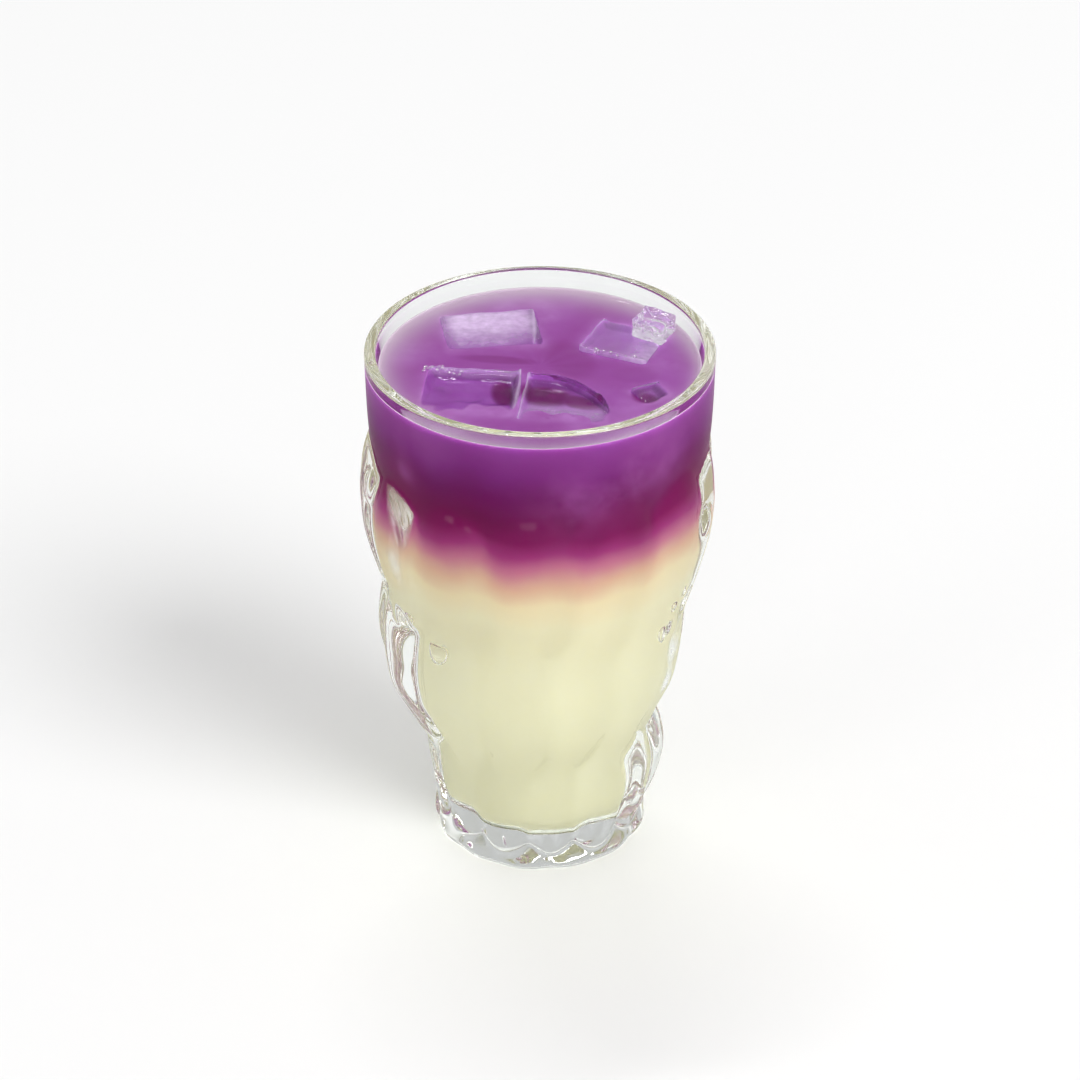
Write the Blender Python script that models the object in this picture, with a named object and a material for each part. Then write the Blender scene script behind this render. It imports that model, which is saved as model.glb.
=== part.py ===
"""A layered mocktail in a lumpy glass tumbler, with ice afloat in it.

Metres, +Z up. The glass stands on z = 0 with its axis on the Z axis, and its front looks along -Y.
"""
import math
import random

import bmesh
import bpy
from mathutils import Matrix, Vector

MM = 0.001
CLEARANCE = 0.3 * MM

# The glass: its height, its rim, its straight conical lining, and the outline of the valleys
# between its lumps, from the foot up to the rim.
GLASS_HEIGHT = 132.0 * MM
RIM_RADIUS = 41.0 * MM
RIM_WALL = 2.6 * MM
LINING_RADIUS_AT_FLOOR = 17.5 * MM
FLOOR_HEIGHT = 7.0 * MM
FLOOR_CORNER = 7.0 * MM
FOOT_RADIUS = 23.8 * MM
FOOT_CHAMFER = 1.5 * MM
VALLEY_OUTLINE = (
    (0.0, 24.6 * MM),
    (15.0 * MM, 24.2 * MM),
    (35.0 * MM, 27.6 * MM),
    (47.0 * MM, 30.9 * MM),
    (62.0 * MM, 33.2 * MM),
    (76.0 * MM, 35.2 * MM),
    (90.0 * MM, 37.7 * MM),
    (112.0 * MM, 40.3 * MM),
    (GLASS_HEIGHT, RIM_RADIUS),
)
GLASS_SIDES = 91
WALL_RINGS = 36
LINING_RINGS = 3
LIP_STEPS = 4

# The lumps stand round the wall in rows, one above the other. The glass is uneven, as if carved
# from ice: each row stands out further on one side than on the other.
# Each row: middle height, half height, lumps round it, angle of the first, and how proud the
# lumps stand on the -X side and on the +X side.
LUMP_ROWS = (
    (86.0 * MM, 25.0 * MM, 13, 184.0, 5.6 * MM, 3.8 * MM),
    (51.0 * MM, 25.0 * MM, 13, 175.0, 7.2 * MM, 2.8 * MM),
    (19.0 * MM, 17.0 * MM, 13, 166.0, 2.5 * MM, 5.2 * MM),
    (1.0 * MM, 8.0 * MM, 13, 12.0, 1.6 * MM, 1.6 * MM),
)
LUMP_OVERLAP = 1.5
LUMP_POWER = 0.9
CREASE_SHARPNESS = 3.0
LUMP_JITTER = 0.12
LUMP_SEED = 7

# The drink: a pale yellow layer under a violet one.
DRINK_LEVEL = 127.0 * MM
BORDER_HEIGHT = 92.0 * MM
BORDER_RIPPLE = 1.5 * MM
RIPPLES_ROUND = 12
RIPPLE_PHASE = -0.775
DRINK_SIDES = 72
YELLOW_RINGS = 4
VIOLET_RINGS = 3
BORDER_RINGS = 4

# The ice: name, size, middle, turn about X, Y and Z in degrees, and a seed for its shape.
# Five pieces float with their tops out of the drink, and the last lies on one of them.
ICE_PIECES = (
    ("ice_back_left", (23.0, 18.0, 16.0), (-11.2, 17.4, 120.4), (3.0, -4.0, 8.0), 1),
    ("ice_back_right", (17.5, 16.0, 16.0), (19.4, 11.4, 120.2), (-3.0, 3.0, -24.0), 2),
    ("ice_front_left", (22.5, 20.0, 17.0), (-16.2, -12.0, 119.6), (5.0, 3.0, -7.0), 3),
    ("ice_front_right", (21.0, 19.5, 17.0), (6.4, -15.8, 119.4), (4.0, -3.0, -8.0), 4),
    ("ice_chip_front", (7.5, 7.5, 9.0), (25.0, -12.6, 123.8), (12.0, 10.0, 30.0), 5),
    ("ice_chip_top", (8.0, 7.5, 4.4), (26.8, 14.0, 130.2), (4.0, 5.0, -28.0), 6),
)
ICE_BEVEL = 0.16
ICE_BEVEL_SEGMENTS = 2
ICE_JITTER = 0.05

# sRGB colours, with roughness and how far light passes through.
FINISHES = {
    "glass": ("#EEF2EA", 0.03, 0.9),
    "lemon": ("#E4E0B4", 0.25, 0.2),
    "violet": ("#7C2F88", 0.2, 0.2),
    "ice": ("#C9B3DC", 0.12, 0.6),
}


def clear_scene():
    for item in list(bpy.data.objects):
        bpy.data.objects.remove(item, do_unlink=True)


def linear(channel):
    if channel <= 0.04045:
        return channel / 12.92
    return ((channel + 0.055) / 1.055) ** 2.4


def make_finish(name):
    """A Principled material from the FINISHES table."""
    code, roughness, transmission = FINISHES[name]
    levels = [int(code[place:place + 2], 16) / 255.0 for place in (1, 3, 5)]
    finish = bpy.data.materials.new(name)
    finish.use_nodes = True
    shader = finish.node_tree.nodes["Principled BSDF"]
    shader.inputs["Base Color"].default_value = [linear(level) for level in levels] + [1.0]
    shader.inputs["Roughness"].default_value = roughness
    shader.inputs["Transmission Weight"].default_value = transmission
    return finish


def valley_radius(height):
    """Outer radius of the glass between its lumps, joined smoothly through the outline's points."""
    points = VALLEY_OUTLINE
    height = min(max(height, points[0][0]), points[-1][0])
    for index in range(len(points) - 1):
        if height <= points[index + 1][0]:
            break
    low, high = points[index], points[index + 1]
    before = points[max(index - 1, 0)]
    after = points[min(index + 2, len(points) - 1)]
    span = high[0] - low[0]
    share = (height - low[0]) / span
    slope_low = (high[1] - before[1]) / (high[0] - before[0]) * span
    slope_high = (after[1] - low[1]) / (after[0] - low[0]) * span
    cube, square = share ** 3, share ** 2
    return (
        (2 * cube - 3 * square + 1) * low[1]
        + (cube - 2 * square + share) * slope_low
        + (3 * square - 2 * cube) * high[1]
        + (cube - square) * slope_high
    )


def lining_radius(height):
    """Inner radius of the glass: a straight cone, with a round corner at its floor."""
    above_floor = height - FLOOR_HEIGHT
    taper = (RIM_RADIUS - RIM_WALL - LINING_RADIUS_AT_FLOOR) / (GLASS_HEIGHT - FLOOR_HEIGHT)
    radius = LINING_RADIUS_AT_FLOOR + taper * above_floor
    if above_floor >= FLOOR_CORNER:
        return radius
    corner_height = 1.0 - max(above_floor, 0.0) / FLOOR_CORNER
    return radius - FLOOR_CORNER * (1.0 - math.sqrt(1.0 - corner_height ** 2))


def make_lumps():
    """Every lump as its angle, middle height, half width as an angle, half height and height."""
    dice = random.Random(LUMP_SEED)
    lumps = []
    for middle, half_height, count, first, proud_left, proud_right in LUMP_ROWS:
        pitch = math.tau / count
        for number in range(count):
            angle = math.radians(first) + number * pitch
            wander = [dice.uniform(-LUMP_JITTER, LUMP_JITTER) for _ in range(4)]
            rightness = (1.0 + math.cos(angle)) / 2
            proud = proud_left + (proud_right - proud_left) * rightness
            lumps.append((
                angle + wander[0] * pitch * 0.5,
                middle + wander[1] * half_height * 0.5,
                pitch * 0.5 * LUMP_OVERLAP,
                half_height * (1.0 + wander[2]),
                proud * (1.0 + wander[3]),
            ))
    return lumps


def lump_height(lumps, angle, height):
    """How far the wall stands out past its valleys. Lumps meet in creases, rounded a little."""
    total = 0.0
    for middle_angle, middle, half_width, half_height, proud in lumps:
        turn = math.remainder(angle - middle_angle, math.tau)
        spread = (turn / half_width) ** 2 + ((height - middle) / half_height) ** 2
        if spread < 1.0:
            total += (proud * (1.0 - spread) ** LUMP_POWER) ** CREASE_SHARPNESS
    return total ** (1.0 / CREASE_SHARPNESS)


def glass_outline():
    """Half section of the glass, from the middle of its foot round the rim to its floor's middle."""
    outline = [(0.0, 0.0), (FOOT_RADIUS, 0.0)]
    lip_radius = RIM_WALL / 2
    lip_middle = GLASS_HEIGHT - lip_radius
    for ring in range(WALL_RINGS + 1):
        height = FOOT_CHAMFER + (lip_middle - FOOT_CHAMFER) * ring / WALL_RINGS
        outline.append((valley_radius(height), height))
    for step in range(1, LIP_STEPS):
        turn = math.pi * step / LIP_STEPS
        radius = valley_radius(lip_middle) - lip_radius + lip_radius * math.cos(turn)
        outline.append((radius, lip_middle + lip_radius * math.sin(turn)))
    corner_top = FLOOR_HEIGHT + FLOOR_CORNER
    for ring in range(LINING_RINGS + 1):
        height = lip_middle + (corner_top - lip_middle) * ring / LINING_RINGS
        outline.append((lining_radius(height), height))
    for share in (0.45, 0.12, 0.0):
        height = FLOOR_HEIGHT + FLOOR_CORNER * share
        outline.append((lining_radius(height), height))
    outline.append((0.0, FLOOR_HEIGHT))
    return outline


def spin_outline(outline, sides):
    """Turn a half section about the Z axis into one closed body."""
    mesh = bmesh.new()
    points = [mesh.verts.new((radius, 0.0, height)) for radius, height in outline]
    edges = [mesh.edges.new(pair) for pair in zip(points, points[1:])]
    bmesh.ops.spin(
        mesh, geom=points + edges, cent=(0, 0, 0), axis=(0, 0, 1),
        angle=math.tau, steps=sides, use_merge=True,
    )
    bmesh.ops.remove_doubles(mesh, verts=mesh.verts, dist=0.01 * MM)
    bmesh.ops.recalc_face_normals(mesh, faces=mesh.faces)
    return mesh


def add_object(name, mesh, finish, crease_angle=35.0):
    """Give a mesh an object, a finish and smooth shading, with an edge kept where it turns sharply."""
    data = bpy.data.meshes.new(name)
    mesh.to_mesh(data)
    mesh.free()
    data.shade_smooth()
    data.set_sharp_from_angle(angle=math.radians(crease_angle))
    data.materials.append(finish)
    item = bpy.data.objects.new(name, data)
    bpy.context.scene.collection.objects.link(item)
    return item


def make_glass():
    """The tumbler: its section is spun, then its outer wall is pushed out into lumps."""
    mesh = spin_outline(glass_outline(), GLASS_SIDES)
    lumps = make_lumps()
    for point in mesh.verts:
        radius = math.hypot(point.co.x, point.co.y)
        if radius < valley_radius(point.co.z) - RIM_WALL / 4 or point.co.z < FOOT_CHAMFER / 2:
            continue
        angle = math.atan2(point.co.y, point.co.x)
        growth = 1.0 + lump_height(lumps, angle, point.co.z) / radius
        point.co.x *= growth
        point.co.y *= growth
    return add_object("glass_tumbler", mesh, make_finish("glass"))


def border_height(angle, share):
    """Height of the border between the layers, which is rippled near the wall."""
    ripple = BORDER_RIPPLE * math.cos(RIPPLES_ROUND * angle + RIPPLE_PHASE)
    return BORDER_HEIGHT + ripple * share ** 2


def lift_border(mesh, flat_height):
    """Bend the flat disc at flat_height into the border's shape, with its edge kept at the lining.

    The bent squares are split along their short diagonals, so that the two layers' faces match.
    """
    flat_radius = lining_radius(flat_height) - CLEARANCE
    for point in mesh.verts:
        if abs(point.co.z - flat_height) > CLEARANCE / 2:
            continue
        share = math.hypot(point.co.x, point.co.y) / flat_radius
        angle = math.atan2(point.co.y, point.co.x)
        point.co.z += border_height(angle, min(share, 1.0)) - BORDER_HEIGHT
        fit = (lining_radius(point.co.z) - CLEARANCE) / flat_radius
        point.co.x *= fit
        point.co.y *= fit
    bmesh.ops.triangulate(mesh, faces=mesh.faces, quad_method="SHORT_EDGE")


def wall_outline(bottom, top, rings):
    """The drink's side against the lining, from bottom to top."""
    heights = [bottom + (top - bottom) * ring / rings for ring in range(rings + 1)]
    return [(lining_radius(height) - CLEARANCE, height) for height in heights]


def disc_outline(height, outward):
    """Points from the axis out to the side of the drink, or back."""
    radius = lining_radius(height) - CLEARANCE
    points = [(radius * ring / BORDER_RINGS, height) for ring in range(BORDER_RINGS)]
    return points if outward else points[::-1]


def make_yellow_layer():
    """The lower layer fills the glass from its floor up to the border."""
    floor = FLOOR_HEIGHT + CLEARANCE
    corner_top = FLOOR_HEIGHT + FLOOR_CORNER
    outline = [(0.0, floor)]
    outline += [(lining_radius(height - CLEARANCE) - CLEARANCE, height) for height in (
        floor, floor + FLOOR_CORNER * 0.12, floor + FLOOR_CORNER * 0.45)]
    outline += wall_outline(corner_top + CLEARANCE, BORDER_HEIGHT, YELLOW_RINGS)
    outline += disc_outline(BORDER_HEIGHT, outward=False)
    mesh = spin_outline(outline, DRINK_SIDES)
    lift_border(mesh, BORDER_HEIGHT)
    return add_object("drink_yellow_layer", mesh, make_finish("lemon"))


def ice_block(size, middle, turn, seed, growth=0.0):
    """A melted cube of ice: a box with uneven corners and round edges, grown by growth all round."""
    dice = random.Random(seed)
    mesh = bmesh.new()
    bmesh.ops.create_cube(mesh, size=1.0)
    for point in mesh.verts:
        point.co += Vector([dice.uniform(-ICE_JITTER, ICE_JITTER) for _ in range(3)])
    bmesh.ops.bevel(
        mesh, geom=list(mesh.edges), offset=ICE_BEVEL, offset_type="OFFSET",
        segments=ICE_BEVEL_SEGMENTS, profile=0.6, affect="EDGES",
    )
    bmesh.ops.triangulate(mesh, faces=mesh.faces)
    full_size = [side * MM + 2 * growth for side in size]
    place = Matrix.LocRotScale(
        Vector(middle) * MM,
        Matrix.Rotation(math.radians(turn[2]), 3, "Z")
        @ Matrix.Rotation(math.radians(turn[1]), 3, "Y")
        @ Matrix.Rotation(math.radians(turn[0]), 3, "X"),
        Vector(full_size),
    )
    bmesh.ops.transform(mesh, matrix=place, verts=mesh.verts)
    bmesh.ops.recalc_face_normals(mesh, faces=mesh.faces)
    return mesh


def make_ice():
    """Each piece of ice is an object of its own."""
    finish = make_finish("ice")
    for name, size, middle, turn, seed in ICE_PIECES:
        add_object(name, ice_block(size, middle, turn, seed), finish.copy())


def make_violet_layer():
    """The upper layer lies on the border, and is cut round every piece of ice."""
    bottom = BORDER_HEIGHT + CLEARANCE
    outline = [(0.0, bottom)] + disc_outline(bottom, outward=True)[1:]
    outline += wall_outline(bottom, DRINK_LEVEL, VIOLET_RINGS)
    outline.append((0.0, DRINK_LEVEL))
    mesh = spin_outline(outline, DRINK_SIDES)
    lift_border(mesh, bottom)
    layer = add_object("drink_violet_layer", mesh, make_finish("violet"))
    for name, size, middle, turn, seed in ICE_PIECES:
        if middle[2] * MM > DRINK_LEVEL:
            continue
        hollow = ice_block(size, middle, turn, seed, growth=1.4 * CLEARANCE)
        cutter = add_object(name + "_hollow", hollow, layer.data.materials[0])
        cutter.hide_render = True
        cutter.display_type = "WIRE"
        cut = layer.modifiers.new(name, "BOOLEAN")
        cut.object = cutter
        cut.operation = "DIFFERENCE"
        cut.solver = "EXACT"
    return layer


def main():
    clear_scene()
    make_glass()
    make_yellow_layer()
    make_violet_layer()
    make_ice()


main()
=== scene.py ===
# %% [markdown]
# # A layered mocktail in a lumpy tumbler
#
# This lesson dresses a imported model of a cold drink: a heavy glass whose outside looks like
# carved ice, a pale yellow layer of juice, a violet layer afloat on it, and melting ice. The
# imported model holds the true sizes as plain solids. One could shade those solids as they are,
# but clear glass shows every facet of a coarse mesh. So each piece is modelled afresh here, at
# the size and place of its solid and far more smoothly, and takes that solid's place.

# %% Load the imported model
import math
import random

import bpy
import numpy as np
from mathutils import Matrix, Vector, noise
from mathutils.bvhtree import BVHTree


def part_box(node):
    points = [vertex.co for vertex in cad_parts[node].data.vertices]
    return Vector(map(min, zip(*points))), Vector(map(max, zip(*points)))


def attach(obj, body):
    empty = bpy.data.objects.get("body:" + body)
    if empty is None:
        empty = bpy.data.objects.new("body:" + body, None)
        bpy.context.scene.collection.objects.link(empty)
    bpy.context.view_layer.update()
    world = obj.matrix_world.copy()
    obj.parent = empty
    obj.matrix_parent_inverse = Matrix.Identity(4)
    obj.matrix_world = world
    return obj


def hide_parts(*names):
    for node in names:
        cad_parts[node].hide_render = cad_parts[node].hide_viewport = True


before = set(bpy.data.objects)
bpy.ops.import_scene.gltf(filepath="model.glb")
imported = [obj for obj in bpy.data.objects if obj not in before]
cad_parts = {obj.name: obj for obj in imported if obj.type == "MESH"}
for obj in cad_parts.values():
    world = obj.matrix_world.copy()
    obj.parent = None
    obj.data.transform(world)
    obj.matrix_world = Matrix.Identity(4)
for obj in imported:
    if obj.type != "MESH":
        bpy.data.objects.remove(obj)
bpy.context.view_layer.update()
MM = 0.001
print("packed nodes:", sorted(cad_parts))

# %% [markdown]
# ## Sizes
#
# A pressed glass has two walls that were made by two different tools. A straight, tapered
# plunger shapes the inside, because it has to come out again, and a carved mould shapes the
# outside. One could trace each wall as a long list of points. A few driving sizes are easier to
# read and to change: a plain cone for the inside, and for the outside a smooth outline of the
# valleys, with rows of lumps that stand on it.

# %% Sizes of the glass
GLASS_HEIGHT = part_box("glass_tumbler")[1][2]
RIM_RADIUS = 41.0 * MM
RIM_WALL = 2.6 * MM
LINING_RADIUS_AT_FLOOR = 17.5 * MM
FLOOR_HEIGHT = 7.0 * MM
FLOOR_CORNER = 7.0 * MM
FOOT_RADIUS = 23.8 * MM
FOOT_CHAMFER = 1.5 * MM
VALLEY_HEIGHTS = np.array([0.0, 15.0, 35.0, 47.0, 62.0, 76.0, 90.0, 112.0, 132.0]) * MM
VALLEY_RADII = np.array([24.6, 24.2, 27.6, 30.9, 33.2, 35.2, 37.7, 40.3, 41.0]) * MM
print("glass height in mm:", round(GLASS_HEIGHT / MM, 2))

# %% Sizes of the lumps
# Middle height, half height, lumps round, angle of the first, and how proud on -X and on +X.
LUMP_ROWS = (
    (86.0 * MM, 25.0 * MM, 13, 184.0, 5.6 * MM, 3.8 * MM),
    (51.0 * MM, 25.0 * MM, 13, 175.0, 7.2 * MM, 2.8 * MM),
    (19.0 * MM, 17.0 * MM, 13, 166.0, 2.5 * MM, 5.2 * MM),
    (1.0 * MM, 8.0 * MM, 13, 12.0, 1.6 * MM, 1.6 * MM),
)
LUMP_OVERLAP = 1.5
LUMP_POWER = 0.9
CREASE_SHARPNESS = 3.0
LUMP_JITTER = 0.12
LUMP_SEED = 7
print("lumps in all:", sum(row[2] for row in LUMP_ROWS))

# %% Sizes of the drink
DRINK_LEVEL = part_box("drink_violet_layer")[1][2]
BORDER_HEIGHT = 92.0 * MM
BORDER_RIPPLE = 1.5 * MM
RIPPLES_ROUND = 12
RIPPLE_PHASE = -0.775
WALL_BITE = 0.15 * MM
print("drink level in mm:", round(DRINK_LEVEL / MM, 2))

# %% [markdown]
# ## Helpers for edit mode
#
# Every piece starts from a primitive and is shaped with the operators that the mouse would call.
# An operator works on whatever is selected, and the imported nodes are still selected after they
# are loaded. So each step first clears the selection.
#
# The glass and the drink are both round, like work from a lathe. One could stack circles and
# bridge them, but a half section that is spun about the axis needs only one line of points.

# %% Select nothing, then one piece
def clear_selection():
    if bpy.context.object and bpy.context.object.mode != "OBJECT":
        bpy.ops.object.mode_set(mode="OBJECT")
    bpy.ops.object.select_all(action="DESELECT")


def activate(piece):
    clear_selection()
    piece.select_set(True)
    bpy.context.view_layer.objects.active = piece


clear_selection()
print("still selected:", len(bpy.context.selected_objects))

# %% Draw a half section and spin it
MERGE_WITHIN = 0.01 * MM


def turn_section(name, section, sides):
    """Extrude a point along a half section, then spin it about Z into one closed body."""
    clear_selection()
    bpy.ops.mesh.primitive_plane_add(size=MM, location=(0.0, 0.0, section[0][1]))
    piece = bpy.context.object
    piece.name = name
    bpy.ops.object.transform_apply(location=True)
    bpy.ops.object.mode_set(mode="EDIT")
    bpy.ops.mesh.select_all(action="SELECT")
    bpy.ops.mesh.merge(type="CENTER")
    for here, there in zip(section, section[1:]):
        step = (there[0] - here[0], 0.0, there[1] - here[1])
        bpy.ops.mesh.extrude_region_move(TRANSFORM_OT_translate={"value": step})
    bpy.ops.mesh.select_all(action="SELECT")
    bpy.ops.mesh.spin(steps=sides, angle=math.tau, center=(0, 0, 0), axis=(0, 0, 1))
    bpy.ops.mesh.select_all(action="SELECT")
    bpy.ops.mesh.remove_doubles(threshold=MERGE_WITHIN)
    bpy.ops.mesh.normals_make_consistent(inside=False)
    bpy.ops.object.mode_set(mode="OBJECT")
    print(name, "spun to", len(piece.data.polygons), "faces")
    return piece


# %% Read and write all of a mesh's points at once
def read_points(piece):
    points = np.empty(len(piece.data.vertices) * 3)
    piece.data.vertices.foreach_get("co", points)
    return points.reshape(-1, 3)


def write_points(piece, points):
    piece.data.vertices.foreach_set("co", points.ravel())
    piece.data.update()


def read_normals(piece):
    normals = np.empty(len(piece.data.vertices) * 3)
    piece.data.vertices.foreach_get("normal", normals)
    return normals.reshape(-1, 3)


def add_measure(piece, name, values):
    """Store one number for each point, for a material to read."""
    measure = piece.data.attributes.new(name, "FLOAT", "POINT")
    measure.data.foreach_set("value", np.asarray(values, dtype=np.float32))


packed_meshes = [item for item in bpy.data.objects if item.type == "MESH"]
print("points in the packed solids:", sum(len(read_points(item)) for item in packed_meshes))


# %% Noise, and two curves that pieces are shaped with
def noise_at(points, grain):
    """Smooth noise from -1 to 1 for each point, whose waves are about a grain long."""
    return np.array([noise.noise(Vector(point) / grain) for point in points])


def edge(distance, width):
    """A ridge: 1 on the edge itself and fading over the width."""
    return np.exp(-(distance / width) ** 2)


def ease(value):
    """Go from 0 to 1 with a soft start and a soft end."""
    value = np.clip(value, 0.0, 1.0)
    return value * value * (3.0 - 2.0 * value)


print("a ridge half a width away:", round(float(edge(0.5, 1.0)), 3))

# %% [markdown]
# ## The glass
#
# The outline is written once as two curves of radius against height. Straight lines between the
# outline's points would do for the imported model, but a cubic curve through them keeps the wall
# smooth, and that matters most on glass: each facet would show as a broken reflection.

# %% Radius of the outer wall between its lumps
def valley_radius(height):
    """A smooth curve through the outline's points, for one height or for many."""
    height = np.clip(height, VALLEY_HEIGHTS[0], VALLEY_HEIGHTS[-1])
    last = len(VALLEY_HEIGHTS) - 1
    index = np.clip(np.searchsorted(VALLEY_HEIGHTS, height, side="left") - 1, 0, last - 1)
    before, after = np.maximum(index - 1, 0), np.minimum(index + 2, last)
    low, high = VALLEY_HEIGHTS[index], VALLEY_HEIGHTS[index + 1]
    radius_low, radius_high = VALLEY_RADII[index], VALLEY_RADII[index + 1]
    span = high - low
    share = (height - low) / span
    slope_low = (radius_high - VALLEY_RADII[before]) / (high - VALLEY_HEIGHTS[before]) * span
    slope_high = (VALLEY_RADII[after] - radius_low) / (VALLEY_HEIGHTS[after] - low) * span
    cube, square = share ** 3, share ** 2
    return (
        (2 * cube - 3 * square + 1) * radius_low + (cube - 2 * square + share) * slope_low
        + (3 * square - 2 * cube) * radius_high + (cube - square) * slope_high
    )


print("outer radius at the border in mm:", round(float(valley_radius(BORDER_HEIGHT)) / MM, 2))


# %% Radius of the lining
def lining_radius(height):
    """Inner radius: a straight cone, with a round corner at the floor."""
    share = (height - FLOOR_HEIGHT) / (GLASS_HEIGHT - FLOOR_HEIGHT)
    cone = LINING_RADIUS_AT_FLOOR + (RIM_RADIUS - RIM_WALL - LINING_RADIUS_AT_FLOOR) * share
    corner = np.clip(1.0 - (height - FLOOR_HEIGHT) / FLOOR_CORNER, 0.0, 1.0)
    return cone - FLOOR_CORNER * (1.0 - np.sqrt(1.0 - corner ** 2))


print("lining radius at the drink's level in mm:", round(float(lining_radius(DRINK_LEVEL)) / MM, 2))

# %% Half section of the glass, from the middle of the foot round the lip to the floor inside
CHAMFER_STEPS = 5
WALL_RINGS = 150
LINING_RINGS = 24
LIP_CORNER = 0.7 * MM
LIP_STEPS = 7
CORNER_STEPS = 12
QUARTER_TURN = math.pi / 2


def foot_points():
    """The flat foot, and the round chamfer that joins it to the wall."""
    points = [(0.0, 0.0), (FOOT_RADIUS / 2, 0.0), (FOOT_RADIUS, 0.0)]
    reach = valley_radius(FOOT_CHAMFER) - FOOT_RADIUS
    for step in range(1, CHAMFER_STEPS):
        turn = QUARTER_TURN * step / CHAMFER_STEPS
        points.append((FOOT_RADIUS + reach * math.sin(turn), FOOT_CHAMFER * (1.0 - math.cos(turn))))
    return points


def lip_points(lip_start):
    """A flat lip whose two corners were rounded in the flame."""
    outer = float(valley_radius(lip_start)) - LIP_CORNER
    inner = float(lining_radius(lip_start)) + LIP_CORNER
    turns = np.linspace(0.0, QUARTER_TURN, LIP_STEPS)
    points = []
    for turn in turns[1:]:
        points.append((outer + LIP_CORNER * math.cos(turn), lip_start + LIP_CORNER * math.sin(turn)))
    for turn in turns[::-1][:-1]:
        points.append((inner - LIP_CORNER * math.cos(turn), lip_start + LIP_CORNER * math.sin(turn)))
    return points


def glass_section():
    lip_start = GLASS_HEIGHT - LIP_CORNER
    section = foot_points()
    for height in np.linspace(FOOT_CHAMFER, lip_start, WALL_RINGS):
        section.append((float(valley_radius(height)), float(height)))
    section += lip_points(lip_start)
    for height in np.linspace(lip_start, FLOOR_HEIGHT + FLOOR_CORNER, LINING_RINGS):
        section.append((float(lining_radius(height)), float(height)))
    for turn in np.linspace(0.0, QUARTER_TURN, CORNER_STEPS)[1:]:
        height = FLOOR_HEIGHT + FLOOR_CORNER * (1.0 - math.sin(turn))
        section.append((float(lining_radius(height)), height))
    section.append((0.0, FLOOR_HEIGHT))
    return section


print("points in the glass's half section:", len(glass_section()))

# %% [markdown]
# ### Lumps and beads
#
# The mould was carved by hand, so its lumps are all a little different. One could sculpt them,
# but each is close to half an egg, and a function of angle and height places 52 of them in four
# rows with small random changes. Where two lumps meet, a power mean joins them, which leaves a
# crease with a soft bottom, as the polishing flame does. A few small round beads stand on the
# lumps and work as tiny lenses.

# %% Where the lumps stand, and how far they push the wall out
def make_lumps():
    dice = random.Random(LUMP_SEED)
    lumps = []
    for middle, half_height, count, first, proud_left, proud_right in LUMP_ROWS:
        pitch = math.tau / count
        for number in range(count):
            angle = math.radians(first) + number * pitch
            wander = [dice.uniform(-LUMP_JITTER, LUMP_JITTER) for _ in range(4)]
            rightness = (1.0 + math.cos(angle)) / 2
            proud = proud_left + (proud_right - proud_left) * rightness
            lumps.append((
                angle + wander[0] * pitch / 2, middle + wander[1] * half_height / 2,
                pitch / 2 * LUMP_OVERLAP, half_height * (1.0 + wander[2]),
                proud * (1.0 + wander[3]),
            ))
    return lumps


def turn_between(angle, middle_angle):
    """The turn from one angle to another, between minus and plus half a turn."""
    return (angle - middle_angle + math.pi) % math.tau - math.pi


def lump_height(angle, height):
    """How far the lumps stand out, with creases that are rounded a little."""
    total = np.zeros_like(angle)
    for middle_angle, middle, half_width, half_height, proud in make_lumps():
        turn = turn_between(angle, middle_angle)
        spread = (turn / half_width) ** 2 + ((height - middle) / half_height) ** 2
        total += (proud * np.clip(1.0 - spread, 0.0, None) ** LUMP_POWER) ** CREASE_SHARPNESS
    return total ** (1.0 / CREASE_SHARPNESS)


print("the proudest lump alone in mm:", round(max(lump[-1] for lump in make_lumps()) / MM, 2))

# %% Small round beads that the mould left on the wall
# Angle, height, half size and how proud.
BEADS = (
    (209.0, 70.5 * MM, 2.6 * MM, 1.1 * MM), (231.0, 68.0 * MM, 2.8 * MM, 1.0 * MM),
    (-32.0, 67.0 * MM, 2.7 * MM, 1.1 * MM), (-27.0, 76.0 * MM, 2.4 * MM, 0.9 * MM),
    (196.0, 101.0 * MM, 3.6 * MM, 1.0 * MM), (-19.0, 93.0 * MM, 3.2 * MM, 0.9 * MM),
)
BEAD_LENGTH = 1.5


def bead_height(angle, height):
    total = np.zeros_like(angle)
    for middle_angle, middle, half_size, proud in BEADS:
        turn = turn_between(angle, math.radians(middle_angle))
        across = turn * valley_radius(middle) / half_size
        along = (height - middle) / (half_size * BEAD_LENGTH)
        total += proud * np.clip(1.0 - across ** 2 - along ** 2, 0.0, None)
    return total


print("beads on the wall:", len(BEADS))

# %% Spin the glass and raise its lumps
GLASS_SIDES = 260
CHISEL_GRAIN = 8.0 * MM
CHISEL_DEPTH = 0.25 * MM
OUTER_SKIN = RIM_WALL / 4
ABOVE_FOOT = FOOT_CHAMFER / 50
GLASS_CREASE_ANGLE = math.radians(40)

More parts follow.
